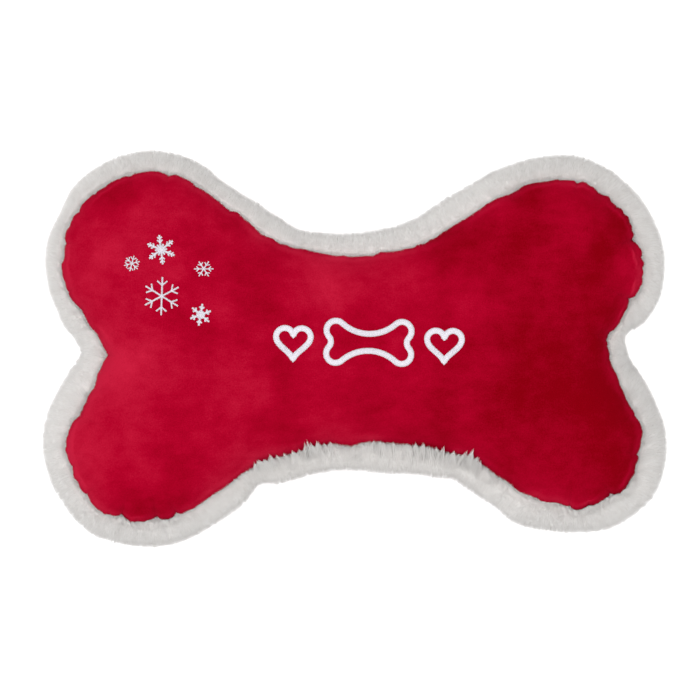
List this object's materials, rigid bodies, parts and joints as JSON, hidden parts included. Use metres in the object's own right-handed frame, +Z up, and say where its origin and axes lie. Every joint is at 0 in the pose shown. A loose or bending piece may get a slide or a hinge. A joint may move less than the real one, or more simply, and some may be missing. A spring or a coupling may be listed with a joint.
{
  "type": "plush dog toy",
  "caption": "Bone-shaped plush dog toy: velour faces, faux-fur edge strip, fibre stuffing, press squeaker and embroidered motifs.",
  "frame": {"origin": "middle of the toy's outline, on the surface that its back lies on", "axes": "+Z up out of the embroidered face, +X along the bone to its right end, +Y to the upper edge of the face"},
  "size_m": [0.3392, 0.2148, 0.0757],
  "materials": {
    "red_velour": "short-pile velour with a soft nap",
    "white_fur": "deep-pile faux fur",
    "fibre_stuffing": "loose polyester fibre",
    "embroidery_thread": "glossy embroidery thread in satin stitch",
    "nonwoven": "thin pressed nonwoven",
    "soft_plastic": "blow-moulded soft plastic, milky",
    "hard_plastic": "moulded hard plastic",
    "reed_film": "clear stiff film"
  },
  "bodies": {
    "toy": {"front_panel": "red_velour", "back_panel": "red_velour", "fur_strip_upper": "white_fur", "fur_strip_lower": "white_fur", "stuffing_left_end": "fibre_stuffing", "stuffing_right_end": "fibre_stuffing", "stuffing_middle_front": "fibre_stuffing", "stuffing_middle_back": "fibre_stuffing", "squeaker_base": "soft_plastic", "squeaker_bellows": "soft_plastic", "squeaker_reed_plug": "hard_plastic", "squeaker_reed": "reed_film", "squeaker_reed_clamp": "hard_plastic", "embroidery_backing_flakes": "nonwoven", "embroidery_backing_centre": "nonwoven", "snowflake_star_large": "embroidery_thread", "snowflake_lace_small": "embroidery_thread", "snowflake_lace_wide": "embroidery_thread", "snowflake_line_large": "embroidery_thread", "snowflake_star_small": "embroidery_thread", "bone_motif": "embroidery_thread", "heart_motif_left": "embroidery_thread", "heart_motif_right": "embroidery_thread"},
    "press_plate": {"squeaker_press_plate": "soft_plastic"}
  },
  "joints": [
    {"name": "squeaker_press", "type": "slide", "parent": "toy", "child": "press_plate", "axis": [0, 0, 1], "range_m": [-0.007, 0], "stiffness_N_per_m": 1500, "deforming": ["squeaker_bellows"]}
  ]
}
